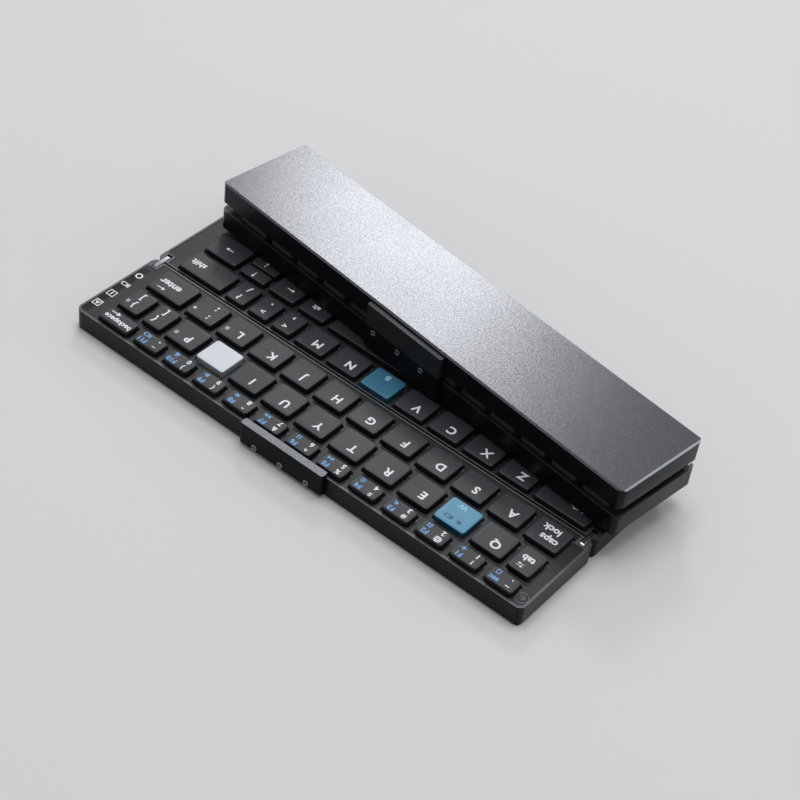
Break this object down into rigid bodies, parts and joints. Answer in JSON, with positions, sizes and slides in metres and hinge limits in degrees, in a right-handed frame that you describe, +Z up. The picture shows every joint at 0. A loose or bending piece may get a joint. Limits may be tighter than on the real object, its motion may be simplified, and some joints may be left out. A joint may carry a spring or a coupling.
{
  "type": "folding keyboard",
  "caption": "Pocket keyboard whose aluminium leaves fold face to face on double-pivot links, lying open with another one lying folded across it.",
  "frame": {"origin": "centre of the far leaf's underside, on the desk", "axes": "+X to the typist's right along the leaves, +Y away from the typist, +Z up from the desk"},
  "size_m": [0.232, 0.1241, 0.0352],
  "materials": {
    "aluminium": "fine blasted and anodised, with bright chamfers",
    "deck": "dark grey satin",
    "keycaps": "dark grey, fine satin texture",
    "blue_keycaps": "blue, fine satin texture",
    "white_keycap": "off-white, fine satin texture",
    "clasp": "dark grey satin",
    "strip": "dark, slightly glossy",
    "hinge_steel": "turned and polished",
    "contact_metal": "bright plated",
    "circuit_board": "green solder mask",
    "switch_sheet": "milky film",
    "battery": "grey foil"
  },
  "bodies": {
    "far_leaf": {"far_cover": "aluminium", "far_deck": "deck", "far_board": "circuit_board", "far_switch_sheet": "switch_sheet", "clasp_block": "clasp", "clasp_contacts": "contact_metal", "indicator_strip": "strip", "charge_port": "contact_metal"},
    "links": {"hinge_links": "hinge_steel", "hinge_pins": "hinge_steel"},
    "near_leaf": {"near_cover": "aluminium", "near_deck": "deck", "near_board": "circuit_board", "near_switch_sheet": "switch_sheet", "battery": "battery", "clasp_keeper": "clasp"},
    "power_button": {"power_button": "clasp"},
    "second_far_leaf": {"second_far_cover": "aluminium", "second_far_keyset": "deck", "second_fittings": "clasp"},
    "second_links": {"second_links": "hinge_steel"},
    "second_near_leaf": {"second_near_cover": "aluminium", "second_near_keyset": "deck"},
    "key_q": {"key_q": "keycaps"},
    "key_w": {"key_w": "blue_keycaps"},
    "key_e": {"key_e": "keycaps"},
    "key_r": {"key_r": "keycaps"},
    "key_t": {"key_t": "keycaps"},
    "key_y": {"key_y": "keycaps"},
    "key_u": {"key_u": "keycaps"},
    "key_i": {"key_i": "keycaps"},
    "key_o": {"key_o": "white_keycap"},
    "key_p": {"key_p": "keycaps"},
    "key_a": {"key_a": "keycaps"},
    "key_s": {"key_s": "keycaps"},
    "key_d": {"key_d": "keycaps"},
    "key_f": {"key_f": "keycaps"},
    "key_g": {"key_g": "keycaps"},
    "key_h": {"key_h": "keycaps"},
    "key_j": {"key_j": "keycaps"},
    "key_k": {"key_k": "keycaps"},
    "key_l": {"key_l": "keycaps"},
    "key_tab": {"key_tab": "keycaps"},
    "key_caps": {"key_caps": "keycaps"},
    "key_enter": {"key_enter": "keycaps"},
    "key_z": {"key_z": "keycaps"},
    "key_x": {"key_x": "keycaps"},
    "key_c": {"key_c": "keycaps"},
    "key_v": {"key_v": "keycaps"},
    "key_b": {"key_b": "blue_keycaps"},
    "key_n": {"key_n": "keycaps"},
    "key_m": {"key_m": "keycaps"},
    "key_left_shift": {"key_left_shift": "keycaps"},
    "key_right_shift": {"key_right_shift": "keycaps"},
    "key_space": {"key_space": "keycaps"},
    "number_keys": {"number_keys": "keycaps"},
    "bracket_keys": {"bracket_keys": "keycaps"},
    "low_punctuation_keys": {"low_punctuation_keys": "keycaps"},
    "left_modifier_keys": {"left_modifier_keys": "keycaps"},
    "right_modifier_keys": {"right_modifier_keys": "keycaps"}
  },
  "joints": [
    {"name": "near_leaf_fold", "type": "hinge", "parent": "links", "child": "near_leaf", "pos_m": [0, -0.02625, 0.0082], "axis": [-1, 0, 0], "range_deg": [0, 90]},
    {"name": "link_fold", "type": "hinge", "parent": "far_leaf", "child": "links", "pos_m": [0, -0.01925, 0.0082], "axis": [-1, 0, 0], "range_deg": [0, 90]},
    {"name": "second_lift", "type": "slide", "parent": "far_leaf", "child": "second_far_leaf", "axis": [0, 0, 1], "range_m": [0, 0.18]},
    {"name": "second_near_leaf_open", "type": "hinge", "parent": "second_links", "child": "second_near_leaf", "pos_m": [-0.00978, -0.0823, 0.027], "axis": [0.9923, -0.1236, 0], "range_deg": [0, 90]},
    {"name": "second_link_open", "type": "hinge", "parent": "second_far_leaf", "child": "second_links", "pos_m": [-0.00978, -0.0823, 0.02], "axis": [0.9923, -0.1236, 0], "range_deg": [0, 90]},
    {"name": "key_q_travel", "type": "slide", "parent": "far_leaf", "child": "key_q", "axis": [0, 0, -1], "range_m": [0, 0.0015], "stiffness_N_per_m": 330},
    {"name": "key_w_travel", "type": "slide", "parent": "far_leaf", "child": "key_w", "axis": [0, 0, -1], "range_m": [0, 0.0015], "stiffness_N_per_m": 330},
    {"name": "key_e_travel", "type": "slide", "parent": "far_leaf", "child": "key_e", "axis": [0, 0, -1], "range_m": [0, 0.0015], "stiffness_N_per_m": 330},
    {"name": "key_r_travel", "type": "slide", "parent": "far_leaf", "child": "key_r", "axis": [0, 0, -1], "range_m": [0, 0.0015], "stiffness_N_per_m": 330},
    {"name": "key_t_travel", "type": "slide", "parent": "far_leaf", "child": "key_t", "axis": [0, 0, -1], "range_m": [0, 0.0015], "stiffness_N_per_m": 330},
    {"name": "key_y_travel", "type": "slide", "parent": "far_leaf", "child": "key_y", "axis": [0, 0, -1], "range_m": [0, 0.0015], "stiffness_N_per_m": 330},
    {"name": "key_u_travel", "type": "slide", "parent": "far_leaf", "child": "key_u", "axis": [0, 0, -1], "range_m": [0, 0.0015], "stiffness_N_per_m": 330},
    {"name": "key_i_travel", "type": "slide", "parent": "far_leaf", "child": "key_i", "axis": [0, 0, -1], "range_m": [0, 0.0015], "stiffness_N_per_m": 330},
    {"name": "key_o_travel", "type": "slide", "parent": "far_leaf", "child": "key_o", "axis": [0, 0, -1], "range_m": [0, 0.0015], "stiffness_N_per_m": 330},
    {"name": "key_p_travel", "type": "slide", "parent": "far_leaf", "child": "key_p", "axis": [0, 0, -1], "range_m": [0, 0.0015], "stiffness_N_per_m": 330},
    {"name": "key_a_travel", "type": "slide", "parent": "far_leaf", "child": "key_a", "axis": [0, 0, -1], "range_m": [0, 0.0015], "stiffness_N_per_m": 330},
    {"name": "key_s_travel", "type": "slide", "parent": "far_leaf", "child": "key_s", "axis": [0, 0, -1], "range_m": [0, 0.0015], "stiffness_N_per_m": 330},
    {"name": "key_d_travel", "type": "slide", "parent": "far_leaf", "child": "key_d", "axis": [0, 0, -1], "range_m": [0, 0.0015], "stiffness_N_per_m": 330},
    {"name": "key_f_travel", "type": "slide", "parent": "far_leaf", "child": "key_f", "axis": [0, 0, -1], "range_m": [0, 0.0015], "stiffness_N_per_m": 330},
    {"name": "key_g_travel", "type": "slide", "parent": "far_leaf", "child": "key_g", "axis": [0, 0, -1], "range_m": [0, 0.0015], "stiffness_N_per_m": 330},
    {"name": "key_h_travel", "type": "slide", "parent": "far_leaf", "child": "key_h", "axis": [0, 0, -1], "range_m": [0, 0.0015], "stiffness_N_per_m": 330},
    {"name": "key_j_travel", "type": "slide", "parent": "far_leaf", "child": "key_j", "axis": [0, 0, -1], "range_m": [0, 0.0015], "stiffness_N_per_m": 330},
    {"name": "key_k_travel", "type": "slide", "parent": "far_leaf", "child": "key_k", "axis": [0, 0, -1], "range_m": [0, 0.0015], "stiffness_N_per_m": 330},
    {"name": "key_l_travel", "type": "slide", "parent": "far_leaf", "child": "key_l", "axis": [0, 0, -1], "range_m": [0, 0.0015], "stiffness_N_per_m": 330},
    {"name": "key_tab_travel", "type": "slide", "parent": "far_leaf", "child": "key_tab", "axis": [0, 0, -1], "range_m": [0, 0.0015], "stiffness_N_per_m": 330},
    {"name": "key_caps_travel", "type": "slide", "parent": "far_leaf", "child": "key_caps", "axis": [0, 0, -1], "range_m": [0, 0.0015], "stiffness_N_per_m": 330},
    {"name": "key_enter_travel", "type": "slide", "parent": "far_leaf", "child": "key_enter", "axis": [0, 0, -1], "range_m": [0, 0.0015], "stiffness_N_per_m": 330},
    {"name": "key_z_travel", "type": "slide", "parent": "near_leaf", "child": "key_z", "axis": [0, 0, -1], "range_m": [0, 0.0015], "stiffness_N_per_m": 330},
    {"name": "key_x_travel", "type": "slide", "parent": "near_leaf", "child": "key_x", "axis": [0, 0, -1], "range_m": [0, 0.0015], "stiffness_N_per_m": 330},
    {"name": "key_c_travel", "type": "slide", "parent": "near_leaf", "child": "key_c", "axis": [0, 0, -1], "range_m": [0, 0.0015], "stiffness_N_per_m": 330},
    {"name": "key_v_travel", "type": "slide", "parent": "near_leaf", "child": "key_v", "axis": [0, 0, -1], "range_m": [0, 0.0015], "stiffness_N_per_m": 330},
    {"name": "key_b_travel", "type": "slide", "parent": "near_leaf", "child": "key_b", "axis": [0, 0, -1], "range_m": [0, 0.0015], "stiffness_N_per_m": 330},
    {"name": "key_n_travel", "type": "slide", "parent": "near_leaf", "child": "key_n", "axis": [0, 0, -1], "range_m": [0, 0.0015], "stiffness_N_per_m": 330},
    {"name": "key_m_travel", "type": "slide", "parent": "near_leaf", "child": "key_m", "axis": [0, 0, -1], "range_m": [0, 0.0015], "stiffness_N_per_m": 330},
    {"name": "key_left_shift_travel", "type": "slide", "parent": "near_leaf", "child": "key_left_shift", "axis": [0, 0, -1], "range_m": [0, 0.0015], "stiffness_N_per_m": 330},
    {"name": "key_right_shift_travel", "type": "slide", "parent": "near_leaf", "child": "key_right_shift", "axis": [0, 0, -1], "range_m": [0, 0.0015], "stiffness_N_per_m": 330},
    {"name": "key_space_travel", "type": "slide", "parent": "near_leaf", "child": "key_space", "axis": [0, 0, -1], "range_m": [0, 0.0015], "stiffness_N_per_m": 330},
    {"name": "number_keys_travel", "type": "slide", "parent": "far_leaf", "child": "number_keys", "axis": [0, 0, -1], "range_m": [0, 0.0015], "stiffness_N_per_m": 1300},
    {"name": "bracket_keys_travel", "type": "slide", "parent": "far_leaf", "child": "bracket_keys", "axis": [0, 0, -1], "range_m": [0, 0.0015], "stiffness_N_per_m": 1300},
    {"name": "low_punctuation_keys_travel", "type": "slide", "parent": "near_leaf", "child": "low_punctuation_keys", "axis": [0, 0, -1], "range_m": [0, 0.0015], "stiffness_N_per_m": 1000},
    {"name": "left_modifier_keys_travel", "type": "slide", "parent": "near_leaf", "child": "left_modifier_keys", "axis": [0, 0, -1], "range_m": [0, 0.0015], "stiffness_N_per_m": 1000},
    {"name": "right_modifier_keys_travel", "type": "slide", "parent": "near_leaf", "child": "right_modifier_keys", "axis": [0, 0, -1], "range_m": [0, 0.0015], "stiffness_N_per_m": 1000},
    {"name": "power_button_travel", "type": "slide", "parent": "far_leaf", "child": "power_button", "axis": [0, 0, -1], "range_m": [0, 0.0006], "stiffness_N_per_m": 600}
  ],
  "couplings": [
    {"joint": "near_leaf_fold", "follows": "second_lift", "rad_per_m": 8.7266},
    {"joint": "link_fold", "follows": "second_lift", "rad_per_m": 8.7266},
    {"joint": "second_link_open", "follows": "second_near_leaf_open", "ratio": 1}
  ]
}
